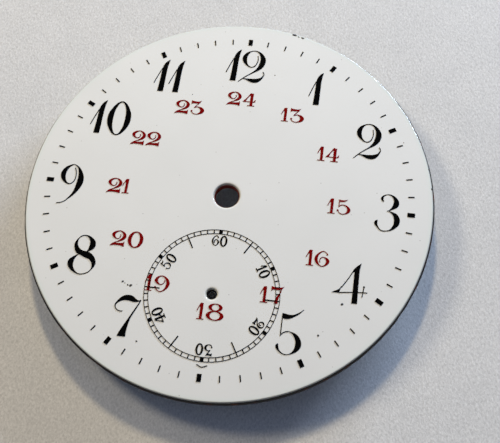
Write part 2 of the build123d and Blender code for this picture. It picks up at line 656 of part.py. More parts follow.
# Minute track: a baton at each hour, and a stroke at each minute between
with BuildPart() as hour_batons:
    with BuildSketch(print_plane):
        with PolarLocations(mark_ring, 12):
            Rectangle(baton_length, baton_width)
    fire_print()
hour_batons.part.label = "hour_batons"

with BuildPart() as minute_strokes:
    with BuildSketch(print_plane):
        for hour in range(12):
            with PolarLocations(mark_ring, 4, start_angle=hour * 30 + 6, angular_range=24):
                Rectangle(minute_length, minute_width)
    fire_print()
minute_strokes.part.label = "minute_strokes"


# Seconds track: two rails, a line at each second, a block at each ten, and a longer line between
with BuildSketch() as seconds_drawing:
    with Locations((0, -seconds_drop)):
        for rail_radius in (seconds_radius, seconds_inner_radius):
            Circle(rail_radius + seconds_line / 2)
            Circle(rail_radius - seconds_line / 2, mode=Mode.SUBTRACT)
        with PolarLocations(seconds_radius - seconds_band / 2, 60):
            Rectangle(seconds_band, second_width)
        with PolarLocations(seconds_radius - seconds_band / 2, 6, start_angle=90):
            Rectangle(seconds_band, ten_second_width)
        with PolarLocations(seconds_inner_radius - five_second_reach / 2, 6, start_angle=60):
            Rectangle(five_second_reach, five_second_width)

with BuildPart() as seconds_track:
    with BuildSketch(print_plane):
        add(seconds_drawing.sketch)
    fire_print()
seconds_track.part.label = "seconds_track"

print_parts = [hour_batons.part, minute_strokes.part, seconds_track.part]


# Numerals of the seconds, each with its head away from the seconds hole
black_drawings = [seconds_drawing.sketch]
for second, (digit, shift_share, width_share, zero_share) in seconds_numeral_shares.items():
    with BuildSketch(seconds_plane(seconds_numeral_foot, second * 6)) as numeral_drawing:
        draw_digit(light_digit_shares[digit], (shift_share * seconds_height, 0), seconds_height,
                   seconds_hairline, width_share)
        draw_digit(seconds_zero_shares, (zero_share * seconds_height, 0), seconds_height, seconds_hairline)
    black_drawings.append(numeral_drawing.sketch)
    with BuildPart() as seconds_numeral:
        with BuildSketch(print_plane):
            add(numeral_drawing.sketch)
        fire_print()
    seconds_numeral.part.label = f"seconds_numeral_{second}"
    print_parts.append(seconds_numeral.part)


# Black numerals of the hours, upright round the dial, and none of them inside the seconds track
for hour, digits in hour_numeral_shares.items():
    across, up = clock_place(hour_ring, hour * 30)
    with BuildPart() as hour_numeral:
        with BuildSketch(print_plane):
            for digit, shift_share, rise_share in digits:
                foot = (across + shift_share * hour_height, up + (rise_share - 0.5) * hour_height)
                draw_digit(bold_digit_shares[digit], foot, hour_height, hour_hairline)
            with Locations((0, -seconds_drop)):
                Circle(seconds_radius + seconds_line / 2, mode=Mode.SUBTRACT)
        fire_print()
    hour_numeral.part.label = f"hour_numeral_{hour}"
    print_parts.append(hour_numeral.part)


# Red numerals of the hours after noon, covered where the black of the seconds lies over them.
# The one at the foot of the dial stands close under the seconds hole.
red_places = {hour: clock_place(red_ring, hour * 30) for hour in red_numeral_shares}
red_places[18] = (0, -seconds_drop - seconds_bore_radius - eighteen_gap - red_height / 2)
for hour, digits in red_numeral_shares.items():
    across, up = red_places[hour]
    with BuildPart() as red_numeral:
        with BuildSketch(print_plane):
            for digit, shift_share, rise_share in digits:
                foot = (across + shift_share * red_height, up + (rise_share - 0.5) * red_height)
                draw_digit(light_digit_shares[digit], foot, red_height, red_hairline)
            for drawing in black_drawings:
                add(drawing, mode=Mode.SUBTRACT)
        fire_print()
    red_numeral.part.label = f"red_numeral_{hour}"
    print_parts.append(red_numeral.part)


for piece in [copper_plate.part, front_enamel.part, counter_enamel.part] + foot_parts + print_parts:
    export_step(piece, f"parts/{piece.label}.step")
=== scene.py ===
# %% [markdown]
# # The dial of a pocket watch, in fired enamel
#
# A dial of this kind is a thin dome of copper with glass on both sides. White enamel covers the face,
# the numerals are painted on it and fired once more, a thinner coat on the back keeps the copper from
# warping, and three copper feet hold the dial to the movement. Here the enamel, the copper and the feet
# are modelled afresh over the CAD model, and the printed marks stay as the CAD model has them.

# %% Load the CAD model as a fixed frame
import math

import bmesh
import bpy
from mathutils import Matrix, Vector, noise


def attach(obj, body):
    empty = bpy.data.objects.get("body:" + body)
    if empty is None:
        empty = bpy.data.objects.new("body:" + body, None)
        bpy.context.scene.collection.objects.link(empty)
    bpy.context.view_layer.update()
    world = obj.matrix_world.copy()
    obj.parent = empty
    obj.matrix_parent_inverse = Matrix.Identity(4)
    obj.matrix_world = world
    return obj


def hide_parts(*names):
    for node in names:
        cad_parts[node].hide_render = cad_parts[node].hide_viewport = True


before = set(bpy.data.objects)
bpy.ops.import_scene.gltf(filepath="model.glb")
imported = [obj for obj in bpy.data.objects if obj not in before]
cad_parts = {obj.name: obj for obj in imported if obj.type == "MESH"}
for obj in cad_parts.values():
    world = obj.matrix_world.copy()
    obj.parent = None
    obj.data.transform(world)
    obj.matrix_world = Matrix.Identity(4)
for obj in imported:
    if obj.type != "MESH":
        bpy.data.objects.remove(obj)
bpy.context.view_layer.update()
MM = 0.001
print("nodes in the frame:", len(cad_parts))


# %% [markdown]
# ## Sizes
# The new pieces need the same sizes as the CAD model. They are written here in millimetres, because
# that is how a dial maker would measure them, and each mesh is scaled to metres when it is finished.
# Both faces of the dial are parts of large spheres about one centre, far below the dial. The edge of a hole
# is the outside of its copper collar, where both coats of enamel end. Every sheet is built from the same
# rings, half a millimetre apart. A hole off the middle is made in a clearing with one ring of its own.

# %% Name the sizes of the dial
MERGE_DISTANCE = 0.0005
SHARP_ANGLE = 50
DIAL_RADIUS = 20.5
DOME_RISE = 0.4
COPPER_THICKNESS = 0.3
ENAMEL_THICKNESS = 0.4
COUNTER_THICKNESS = 0.2
LIP_INNER_RADIUS = 20.33
LIP_DEPTH = 0.33
COUNTER_RADIUS = 20.15
CENTRE_PLACE = (0, 0)
SECONDS_PLACE = (0, -10.2)
CENTRE_BORE = 1.2
SECONDS_BORE = 0.45
COLLAR_LEDGE = 0.06
CENTRE_EDGE = CENTRE_BORE + COLLAR_LEDGE
SECONDS_EDGE = SECONDS_BORE + COLLAR_LEDGE
COLLAR_RISE = 0.12
SHOULDER = 0.12
MOUTH = 0.196
LIP_ROUND = 0.04
BACK_ROUND = 0.06
COUNTER_ROUND = 0.12
FOOT_DROP = 3.0
FOOT_RING = 17.0
FOOT_ANGLES = (30, 145, 265)
FOOT_RADIUS = 0.5
ROOT_RADIUS = 0.8
ROOT_LENGTH = 0.33
BRAZE_RADIUS = 1.11
BRAZE_HOLLOW = 0.25
BRAZE_TOP = 0.18
SPECK_HEIGHT = 0.03
FACE_SPHERE = (DIAL_RADIUS**2 + DOME_RISE**2) / (2 * DOME_RISE)
DOME_CENTRE = -(FACE_SPHERE - ENAMEL_THICKNESS - COPPER_THICKNESS)


def dome_height(depth, x, y):
    """Height of the sphere that lies a depth under the face, above a point of the dial."""
    return DOME_CENTRE + math.sqrt((FACE_SPHERE - depth) ** 2 - x * x - y * y)


feet = [(FOOT_RING * math.sin(math.radians(a)), FOOT_RING * math.cos(math.radians(a))) for a in FOOT_ANGLES]
inner_ring = 1.6
middle_rings = [2 + 0.5 * n for n in range(36)]
outer_ring, shoulder_ring, counter_ring = 20.0, 20.08, 19.85
seconds_ring, seconds_clearing = 0.9, 1.2
foot_ring, foot_clearing = 1.45, 1.8
print("face of the dome, mm: middle", round(dome_height(0, 0, 0), 3),
      "edge", round(dome_height(0, DIAL_RADIUS, 0), 3))


# %% [markdown]
# ## Helpers for colour and for material nodes
# Colours are easiest to judge as the hex values of a picture, but Blender mixes light in linear values,
# so one function turns one into the other. Another adds a node with its settings and its links, which
# keeps each material short enough to read as a recipe.

# %% Turn a picture's hex colour into linear light
def colour(hex_value):
    shares = [int(hex_value[i:i + 2], 16) / 255 for i in (1, 3, 5)]
    return [s / 12.92 if s <= 0.04045 else ((s + 0.055) / 1.055) ** 2.4 for s in shares] + [1]


print("middle grey #808080 in linear light:", round(colour("#808080")[0], 3))


# %% Add a node with its settings and links
def add_node(tree, kind, settings=None, **inputs):
    node = tree.nodes.new(kind)
    for name, value in (settings or {}).items():
        setattr(node, name, value)
    for name, value in inputs.items():
        socket = node.inputs[int(name[1:])] if name[1:].isdigit() else node.inputs[name.replace("_", " ")]
        if isinstance(value, bpy.types.NodeSocket):
            tree.links.new(value, socket)
        else:
            socket.default_value = value
    return node


# %% Start a material with one shader and the coordinates of the object
def start_material(name, **inputs):
    material = bpy.data.materials.new(name)
    material.use_nodes = True
    tree = material.node_tree
    shader = tree.nodes["Principled BSDF"]
    for socket, value in inputs.items():
        shader.inputs[socket.replace("_", " ")].default_value = value
    place = add_node(tree, "ShaderNodeTexCoord").outputs["Object"]
    return material, tree, shader, place


# %% [markdown]
# ## White enamel of the face
# Vitreous enamel is glass made white with tin or arsenic, sifted on the copper as powder and fired until it
# flows. It is a bright white with a trace of green. A greener tone is painted into the last half millimetre
# before the rim. This is painted light, standing for the light that enters the glass there from the side. At
# the very brink of the rim and in the mouths of both holes the glass thins out over the copper and turns
# grey.
# These greys are painted deeper as painted shade, which also damps the glint of the rounded edges. It is as
# glossy as glass, but not quite flat: it has the soft ripple of a liquid that has set. So the shader is a
# smooth dielectric with the IOR of lead glass, the distance from the middle of the dial or of a hole mixes
# in the painted greener tone and the painted greys, and two noises give the ripple, 3 mm and 0.5 mm long. A
# few faint grains of dust lie in the glass. They come from a pattern of cells 2.5 mm wide, kept only close
# to the middle of a cell, and most cells are left without one.

# %% Mix the white enamel
enamel, tree, shader, place = start_material("vitreous_enamel_white", Roughness=0.07, IOR=1.54)
cloud = add_node(tree, "ShaderNodeTexNoise", Vector=place, Scale=1 / (7 * MM), Detail=3.0)
tone = add_node(tree, "ShaderNodeMix", {"data_type": "RGBA"}, Factor=cloud.outputs["Fac"],
                _6=colour("#E3E3E1"), _7=colour("#DBDCDA"))
flat = add_node(tree, "ShaderNodeMapping", Vector=place, Scale=(1, 1, 0))
# Painted light and shade: the greener band before the rim stands for light entering the glass from the side,
# and the greys at the brink of the rim and in the hole mouths are partly thin glass over copper and partly
# painted shade.
tints_and_painted_shades = [(CENTRE_PLACE, 19.7, 20.33, "#DADFDB"), (CENTRE_PLACE, 20.17, 20.31, "#A3A49D"),
           (CENTRE_PLACE, 1.44, 1.30, "#BDB9AA"), (SECONDS_PLACE, 0.69, 0.55, "#BDB9AA")]
for (x, y), start, end, tint_and_shade_tone in tints_and_painted_shades:
    reach = add_node(tree, "ShaderNodeVectorMath", {"operation": "DISTANCE"}, _0=flat.outputs[0],
                     _1=(x * MM, y * MM, 0))
    tint_and_shade_mask = add_node(tree, "ShaderNodeMapRange", {"interpolation_type": "SMOOTHSTEP"},
                      Value=reach.outputs["Value"], From_Min=start * MM, From_Max=end * MM)
    tone = add_node(tree, "ShaderNodeMix", {"data_type": "RGBA"}, Factor=tint_and_shade_mask.outputs[0],
                    _6=tone.outputs[2], _7=colour(tint_and_shade_tone))
cell = add_node(tree, "ShaderNodeTexVoronoi", {"voronoi_dimensions": "2D"}, Vector=place,
                Scale=1 / (2.5 * MM))
dust = add_node(tree, "ShaderNodeMapRange", Value=cell.outputs["Distance"], From_Min=0.012, From_Max=0.03,
                To_Min=0.45, To_Max=0.0)
rare = add_node(tree, "ShaderNodeMapRange", Value=cell.outputs["Color"], From_Min=0.6, From_Max=0.8)
dust = add_node(tree, "ShaderNodeMath", {"operation": "MULTIPLY"}, _0=dust.outputs[0], _1=rare.outputs[0])
tone = add_node(tree, "ShaderNodeMix", {"data_type": "RGBA"}, Factor=dust.outputs[0],
                _6=tone.outputs[2], _7=colour("#6E6A60"))
tree.links.new(tone.outputs[2], shader.inputs["Base Color"])
swell = add_node(tree, "ShaderNodeTexNoise", Vector=place, Scale=1 / (3 * MM), Detail=1.0)
peel = add_node(tree, "ShaderNodeTexNoise", Vector=place, Scale=1 / (0.5 * MM), Detail=1.0)
ripple = add_node(tree, "ShaderNodeBump", Strength=0.25, Distance=0.02 * MM, Height=swell.outputs["Fac"])
ripple = add_node(tree, "ShaderNodeBump", Strength=0.12, Distance=0.003 * MM, Height=peel.outputs["Fac"],
                  Normal=ripple.outputs["Normal"])
tree.links.new(ripple.outputs["Normal"], shader.inputs["Normal"])
print("white enamel: IOR", round(shader.inputs["IOR"].default_value, 2))


# %% [markdown]
# ## Counter-enamel of the back
# The back is coated with the maker's swept-up remains of enamel, so it is greyer, with darker specks and an
# uneven skin, and nobody polishes it. The specks come from a pattern of cells 1.1 mm wide, kept only close
# to the middle of a cell, and only some of the cells have one.

# %% Mix the counter-enamel
counter, tree, shader, place = start_material("counter_enamel_grey_white", Roughness=0.28, IOR=1.52)
cloud = add_node(tree, "ShaderNodeTexNoise", Vector=place, Scale=1 / (5 * MM), Detail=5.0, Roughness=0.6)
tone = add_node(tree, "ShaderNodeMix", {"data_type": "RGBA"}, Factor=cloud.outputs["Fac"],
                _6=colour("#D5D6CE"), _7=colour("#B9BCB6"))
cell = add_node(tree, "ShaderNodeTexVoronoi", Vector=place, Scale=1 / (1.1 * MM))
speck = add_node(tree, "ShaderNodeMapRange", Value=cell.outputs["Distance"], From_Min=0.04, From_Max=0.12,
                 To_Min=1.0, To_Max=0.0)
rare = add_node(tree, "ShaderNodeMapRange", Value=cell.outputs["Color"], From_Min=0.62, From_Max=0.66)
speck = add_node(tree, "ShaderNodeMath", {"operation": "MULTIPLY"}, _0=speck.outputs[0], _1=rare.outputs[0])
tone = add_node(tree, "ShaderNodeMix", {"data_type": "RGBA"}, Factor=speck.outputs[0],
                _6=tone.outputs[2], _7=colour("#4C4A45"))
tree.links.new(tone.outputs[2], shader.inputs["Base Color"])
skin = add_node(tree, "ShaderNodeTexNoise", Vector=place, Scale=1 / (0.9 * MM), Detail=4.0)
skin = add_node(tree, "ShaderNodeBump", Strength=0.5, Distance=0.02 * MM, Height=skin.outputs["Fac"])
tree.links.new(skin.outputs["Normal"], shader.inputs["Normal"])
print("counter-enamel: roughness", round(shader.inputs["Roughness"].default_value, 2))


# %% [markdown]
# ## Copper after the furnace
# Bare copper that has been through the furnace carries a brown-black skin of oxide, with redder metal where
# the skin has been rubbed off the edges. Oxide isn't a metal, so the same noise that darkens the colour
# lowers the metallic value and raises the roughness. Inside the centre hole less air reached the copper, and
# the skin is the red oxide, so the distance from the axis mixes that in.

# %% Mix the fired copper
copper, tree, shader, place = start_material("copper_fire_darkened")
patch = add_node(tree, "ShaderNodeTexNoise", Vector=place, Scale=1 / (1.6 * MM), Detail=6.0, Roughness=0.65)
rub = add_node(tree, "ShaderNodeMapRange", Value=patch.outputs["Fac"], From_Min=0.54, From_Max=0.7)
tone = add_node(tree, "ShaderNodeMix", {"data_type": "RGBA"}, Factor=rub.outputs[0],
                _6=colour("#140D0B"), _7=colour("#5A3222"))
flat = add_node(tree, "ShaderNodeMapping", Vector=place, Scale=(1, 1, 0))
reach = add_node(tree, "ShaderNodeVectorMath", {"operation": "LENGTH"}, _0=flat.outputs[0])
inside = add_node(tree, "ShaderNodeMapRange", Value=reach.outputs["Value"], From_Min=1.4 * MM,
                  From_Max=3 * MM, To_Min=0.85, To_Max=0.0)
tone = add_node(tree, "ShaderNodeMix", {"data_type": "RGBA"}, Factor=inside.outputs[0],
                _6=tone.outputs[2], _7=colour("#7A2413"))
tree.links.new(tone.outputs[2], shader.inputs["Base Color"])
metal = add_node(tree, "ShaderNodeMapRange", Value=rub.outputs[0], To_Min=0.25, To_Max=1.0)
tree.links.new(metal.outputs[0], shader.inputs["Metallic"])
matt = add_node(tree, "ShaderNodeMapRange", Value=rub.outputs[0], To_Min=0.62, To_Max=0.38)
tree.links.new(matt.outputs[0], shader.inputs["Roughness"])
scale = add_node(tree, "ShaderNodeTexNoise", Vector=place, Scale=1 / (0.25 * MM), Detail=3.0)
scale = add_node(tree, "ShaderNodeBump", Strength=0.4, Distance=0.01 * MM, Height=scale.outputs["Fac"])
tree.links.new(scale.outputs["Normal"], shader.inputs["Normal"])
print("fired copper: nodes", len(tree.nodes))


# %% [markdown]
# ## Copper wire of the feet, and their braze
# The feet are cut from drawn wire, so fine lines run along them. The lines are a noise stretched 20 times
# along Z. Real ones are a few hundredths of a millimetre apart, and are drawn at 0.12 mm so that they show.
# The braze is a yellow hard solder that ran round each foot, with a dull, slightly lumpy skin.

# %% Mix the drawn copper wire
wire, tree, shader, place = start_material("copper_wire_drawn", Metallic=1.0)
stretch = add_node(tree, "ShaderNodeMapping", Vector=place, Scale=(1, 1, 0.05))
line = add_node(tree, "ShaderNodeTexNoise", Vector=stretch.outputs[0], Scale=1 / (0.12 * MM), Detail=2.0)
stain = add_node(tree, "ShaderNodeTexNoise", Vector=place, Scale=1 / (0.8 * MM), Detail=4.0)
tone = add_node(tree, "ShaderNodeMix", {"data_type": "RGBA"}, Factor=stain.outputs["Fac"],
                _6=colour("#C07A58"), _7=colour("#6E3F2C"))
tree.links.new(tone.outputs[2], shader.inputs["Base Color"])
matt = add_node(tree, "ShaderNodeMapRange", Value=stain.outputs["Fac"], To_Min=0.25, To_Max=0.55)
tree.links.new(matt.outputs[0], shader.inputs["Roughness"])
drawn = add_node(tree, "ShaderNodeBump", Strength=0.5, Distance=0.008 * MM, Height=line.outputs["Fac"])
tree.links.new(drawn.outputs["Normal"], shader.inputs["Normal"])
print("drawn wire: nodes", len(tree.nodes))


# %% Mix the braze
braze, tree, shader, place = start_material("hard_solder_dulled", Metallic=1.0)
stain = add_node(tree, "ShaderNodeTexNoise", Vector=place, Scale=1 / (0.5 * MM), Detail=5.0)
tone = add_node(tree, "ShaderNodeMix", {"data_type": "RGBA"}, Factor=stain.outputs["Fac"],
                _6=colour("#C9A667"), _7=colour("#6B5230"))
tree.links.new(tone.outputs[2], shader.inputs["Base Color"])
matt = add_node(tree, "ShaderNodeMapRange", Value=stain.outputs["Fac"], To_Min=0.35, To_Max=0.6)
tree.links.new(matt.outputs[0], shader.inputs["Roughness"])
lump = add_node(tree, "ShaderNodeBump", Strength=0.5, Distance=0.03 * MM, Height=stain.outputs["Fac"])
tree.links.new(lump.outputs["Normal"], shader.inputs["Normal"])
print("braze: nodes", len(tree.nodes))


# %% [markdown]
# ## Fired paint
# The marks are ground metal oxides in oil, printed or painted on the finished enamel and fired at a lower
# heat, which leaves them level, hard and a little less glossy than the white. No lamp is mirrored in them in
# the photograph, so their reflection is kept faint. Under a glass the paint is grainy and thinner in places,
# and that grain, real at 0.02 mm, is drawn here at 0.1 mm.

# %% Mix one fired paint
def mix_fired_paint(name, thick, thin):
    material, tree, shader, place = start_material(name, Roughness=0.3, IOR=1.5, Specular_IOR_Level=0.03)
    grain = add_node(tree, "ShaderNodeTexNoise", Vector=place, Scale=1 / (0.1 * MM), Detail=2.0)
    cover = add_node(tree, "ShaderNodeMapRange", Value=grain.outputs["Fac"], From_Min=0.5, From_Max=0.8)
    tone = add_node(tree, "ShaderNodeMix", {"data_type": "RGBA"}, Factor=cover.outputs[0],
                    _6=colour(thick), _7=colour(thin))
    tree.links.new(tone.outputs[2], shader.inputs["Base Color"])
    bump = add_node(tree, "ShaderNodeBump", Strength=0.3, Distance=0.004 * MM, Height=grain.outputs["Fac"])
    tree.links.new(bump.outputs["Normal"], shader.inputs["Normal"])
    return material


black_paint = mix_fired_paint("fired_paint_black", "#010101", "#050505")
red_paint = mix_fired_paint("fired_paint_iron_red", "#6F0303", "#93120E")
print("paints:", black_paint.name, "and", red_paint.name)


# %% [markdown]
# ## A pierced sheet, the start of each layer
# Copper, enamel and counter-enamel are all thin round sheets with holes. A row of vertices turned about the
# middle gives rings and spokes, which bend and shade well, and leaves the centre hole open. A hole that
# isn't in the middle would need a cut through the rings. Instead the faces round its place are taken out,
# and the gap is bridged to a circle, so the wall of the hole starts from clean edges.

# %% Spin a flat sheet from its rings
def spin_sheet(rings, steps=240):
    bm = bmesh.new()
    row = [bm.verts.new((r, 0, 0)) for r in rings]
    edges = [bm.edges.new(pair) for pair in zip(row, row[1:])]
    bmesh.ops.spin(bm, geom=row + edges, cent=(0, 0, 0), axis=(0, 0, 1), angle=math.tau, steps=steps,
                   use_merge=True)
    return bm


# %% Open a hole in a flat sheet, with rings of faces round it
def open_hole(bm, place, radii, clearing, steps=48):
    middle = Vector((place[0], place[1], 0))
    gone = [f for f in bm.faces if (f.calc_center_median() - middle).length < clearing]
    bmesh.ops.delete(bm, geom=gone, context="FACES")
    gap = [e for e in bm.edges if e.is_boundary and (e.verts[0].co - middle).length < clearing * 1.6]
    circle = bmesh.ops.create_circle(bm, segments=steps, radius=radii[0])["verts"]
    bmesh.ops.translate(bm, verts=circle, vec=middle)
    rim = list({e for v in circle for e in v.link_edges})
    bmesh.ops.bridge_loops(bm, edges=gap + rim)
    for outer, inner in zip(radii, radii[1:]):
        ring = bmesh.ops.extrude_edge_only(bm, edges=rim)["geom"]
        rim = [e for e in ring if isinstance(e, bmesh.types.BMEdge) and e.is_boundary]
        bmesh.ops.scale(bm, verts=[v for v in ring if isinstance(v, bmesh.types.BMVert)],
                        vec=(inner / outer, inner / outer, 1), space=Matrix.Translation(-middle))
    bmesh.ops.recalc_face_normals(bm, faces=bm.faces)


# %% [markdown]
# ## From a flat sheet to a fired one
# Edges are found and rounded while a sheet is still flat, since each of them is then a circle at one height.
# Only then is the sheet laid on the dome, by lifting each vertex to the height of the sphere under it. Glass
# that has flowed and an edge filed by hand are never quite true, so a smooth noise moves them by a little.
# The last helper merges doubles, scales the mesh to metres and hands the piece to the frame.

# %% Find the sharp edges of a hole or a rim at one height of a flat sheet
def rim_edges(bm, height, place, radius, reach=0.01, level=0.001):
    middle = Vector((place[0], place[1], height))
    return [e for e in bm.edges if all(abs((v.co - middle).length - radius) < reach
                                       and abs(v.co.z - height) < level for v in e.verts)]


# %% Round such edges
def round_rims(bm, height, rims, offset, segments=5):
    sharp = [e for place, radius in rims for e in rim_edges(bm, height, place, radius)]
    bmesh.ops.bevel(bm, geom=sharp, offset=offset, segments=segments, profile=0.5, affect="EDGES",
                    material=-1)
    print("rounded", len(sharp), "edges by", offset, "mm")


# %% Lay a flat sheet on the dome, a depth below the face
def lay_on_dome(bm, depth):
    for v in bm.verts:
        v.co.z += dome_height(depth, v.co.x, v.co.y)


# %% Let a surface wander a little, as one shaped by melting does
def wander(vert, length, amount, seed):
    place = Vector((vert.co.x / length, vert.co.y / length, vert.co.z / length + seed))
    return amount * noise.noise(place)


# %% Finish a mesh made in millimetres as a piece of the dial
def finish_piece(bm, name, material, slot, *nodes):
    bmesh.ops.remove_doubles(bm, verts=bm.verts, dist=MERGE_DISTANCE)
    bmesh.ops.recalc_face_normals(bm, faces=bm.faces)
    bmesh.ops.scale(bm, verts=bm.verts, vec=(MM, MM, MM))
    open_edges = sum(1 for e in bm.edges if not e.is_manifold)
    mesh = bpy.data.meshes.new(name)
    bm.to_mesh(mesh)
    bm.free()
    mesh.shade_smooth()
    mesh.set_sharp_from_angle(angle=math.radians(SHARP_ANGLE))
    mesh.materials.append(material)
    piece = bpy.data.objects.new(name, mesh)
    bpy.context.collection.objects.link(piece)
    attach(piece, "root")
    if nodes:
        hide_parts(*nodes)
    print(name, "faces", len(mesh.polygons), "open edges", open_edges)
    return piece


# %% [markdown]
# ## The white enamel
# The face is a sheet that gets its thickness downwards. Then its outer shoulder and the mouths of its holes
# are rounded, since melted glass draws itself round at every edge. Last it is laid on the dome. A swell of
# a few thousandths of a millimetre and a shoulder that isn't a perfect circle are what a fired surface has
# and a turned one hasn't.

# %% Make the white enamel
bm = spin_sheet([CENTRE_EDGE, inner_ring] + middle_rings + [outer_ring, shoulder_ring, LIP_INNER_RADIUS])
open_hole(bm, SECONDS_PLACE, (seconds_ring, SECONDS_EDGE), seconds_clearing)
bmesh.ops.solidify(bm, geom=list(bm.faces), thickness=ENAMEL_THICKNESS)
round_rims(bm, 0, [(CENTRE_PLACE, CENTRE_EDGE), (SECONDS_PLACE, SECONDS_EDGE)], MOUTH)
round_rims(bm, 0, [(CENTRE_PLACE, LIP_INNER_RADIUS)], SHOULDER, segments=7)
for v in bm.verts:
    if v.co.z > -0.75 * ENAMEL_THICKNESS:
        v.co.z += wander(v, length=4, amount=0.007, seed=3)
lay_on_dome(bm, 0)
finish_piece(bm, "enamel_face", enamel, "white_enamel", "front_enamel")


# %% [markdown]
# ## The copper plate
# The copper is punched, domed in a press, and its edges are turned up: a lip round the outside and a small
# collar at each hole keep the powder in place before it melts. The lip is what shows as a thin dark line
# round the dial, lower than the swollen edge of the enamel, which hides it on the far side. It is raised
# here by extruding the outermost ring of faces, and the collars are raised in the same way. Blender keeps
# the faces that were extruded, now inside the metal, so they are deleted. The collar of the centre hole goes
# down too, through the coat on the back, so the whole wall of that hole is copper. The edge of the lip was
# filed by hand, so it wanders by a few hundredths.

# %% Raise the rings of faces that lie between two radii
def raise_ring(bm, place, inner, outer, height):
    middle = Vector(place)
    ring = [f for f in bm.faces if f.normal.z * height > 0.9 * abs(height)
            and inner < (f.calc_center_median().xy - middle).length < outer]
    raised = bmesh.ops.extrude_face_region(bm, geom=ring)
    bmesh.ops.translate(bm, verts=[v for v in raised["geom"] if isinstance(v, bmesh.types.BMVert)],
                        vec=(0, 0, height))
    bmesh.ops.delete(bm, geom=ring, context="FACES")
    print("raised", len(ring), "faces by", height, "mm")


# %% Make the copper plate
lip_height = ENAMEL_THICKNESS - LIP_DEPTH
bm = spin_sheet([CENTRE_BORE, CENTRE_EDGE, inner_ring] + middle_rings
                + [outer_ring, LIP_INNER_RADIUS, DIAL_RADIUS], steps=360)
open_hole(bm, SECONDS_PLACE, (seconds_ring, SECONDS_EDGE, SECONDS_BORE), seconds_clearing)
bmesh.ops.solidify(bm, geom=list(bm.faces), thickness=COPPER_THICKNESS)
bm.normal_update()
raise_ring(bm, CENTRE_PLACE, LIP_INNER_RADIUS, DIAL_RADIUS, lip_height)
raise_ring(bm, CENTRE_PLACE, CENTRE_BORE, CENTRE_EDGE, COLLAR_RISE)
raise_ring(bm, CENTRE_PLACE, CENTRE_BORE, CENTRE_EDGE, -COUNTER_THICKNESS)
raise_ring(bm, SECONDS_PLACE, SECONDS_BORE, SECONDS_EDGE, COLLAR_RISE)
lip_rims = [(CENTRE_PLACE, DIAL_RADIUS), (CENTRE_PLACE, LIP_INNER_RADIUS)]
round_rims(bm, lip_height, lip_rims, LIP_ROUND, segments=3)
round_rims(bm, -COPPER_THICKNESS, [(CENTRE_PLACE, DIAL_RADIUS)], BACK_ROUND, segments=3)
for v in bm.verts:
    if v.co.xy.length > LIP_INNER_RADIUS - 0.01:
        v.co.z += wander(v, length=2.5, amount=0.02, seed=11) if v.co.z > 0 else 0
        v.co.xy *= 1 - abs(wander(v, length=1.8, amount=0.05, seed=7)) / DIAL_RADIUS
lay_on_dome(bm, ENAMEL_THICKNESS)
finish_piece(bm, "copper_blank", copper, "copper", "copper_plate")


# %% [markdown]
# ## The counter-enamel
# The back is made like the face, but thinner and rougher. Its powder was wiped away round the holes and
# the feet, so those edges wander, and they are rounded on the open side.

# %% Make the counter-enamel
bm = spin_sheet([CENTRE_EDGE, inner_ring] + middle_rings + [counter_ring, COUNTER_RADIUS])
open_hole(bm, SECONDS_PLACE, (seconds_ring, SECONDS_EDGE), seconds_clearing)
for foot in feet:
    open_hole(bm, foot, (foot_ring, BRAZE_RADIUS), foot_clearing)
bmesh.ops.solidify(bm, geom=list(bm.faces), thickness=COUNTER_THICKNESS)
rims = [(CENTRE_PLACE, CENTRE_EDGE), (CENTRE_PLACE, COUNTER_RADIUS), (SECONDS_PLACE, SECONDS_EDGE)]
rims += [(foot, BRAZE_RADIUS) for foot in feet]
round_rims(bm, -COUNTER_THICKNESS, rims, COUNTER_ROUND, segments=4)
for v in bm.verts:
    if v.co.z < -0.01:
        v.co.z += wander(v, length=2.2, amount=0.03, seed=23) + wander(v, length=0.8, amount=0.01, seed=29)
    if v.co.xy.length > COUNTER_RADIUS - 0.15:
        v.co.xy *= 1 + wander(v, length=1.5, amount=0.12, seed=31) / COUNTER_RADIUS
lay_on_dome(bm, ENAMEL_THICKNESS + COPPER_THICKNESS)
finish_piece(bm, "counter_coat", counter, "back_enamel", "counter_enamel")


# %% [markdown]
# ## The feet
# Each foot is a short piece of copper wire with a thicker root, set in a pool of hard solder. Both are
# turned shapes: half of the outline is drawn as a few vertices and spun round the axis of the foot. The
# solder ran up the root and out over the copper, which leaves a hollow curve between them. The outline of
# the solder ends where it starts, so it is spun to a closed ring.

# %% Spin an outline round the axis of a foot
def spin_outline(outline, place, steps=40):
    bm = bmesh.new()
    row = [bm.verts.new((place[0] + r, place[1], z)) for r, z in outline]
    edges = [bm.edges.new(pair) for pair in zip(row, row[1:])]
    bmesh.ops.spin(bm, geom=row + edges, cent=(place[0], place[1], 0), axis=(0, 0, 1), angle=math.tau,
                   steps=steps, use_merge=True)
    bmesh.ops.remove_doubles(bm, verts=bm.verts, dist=MERGE_DISTANCE)
    return bm


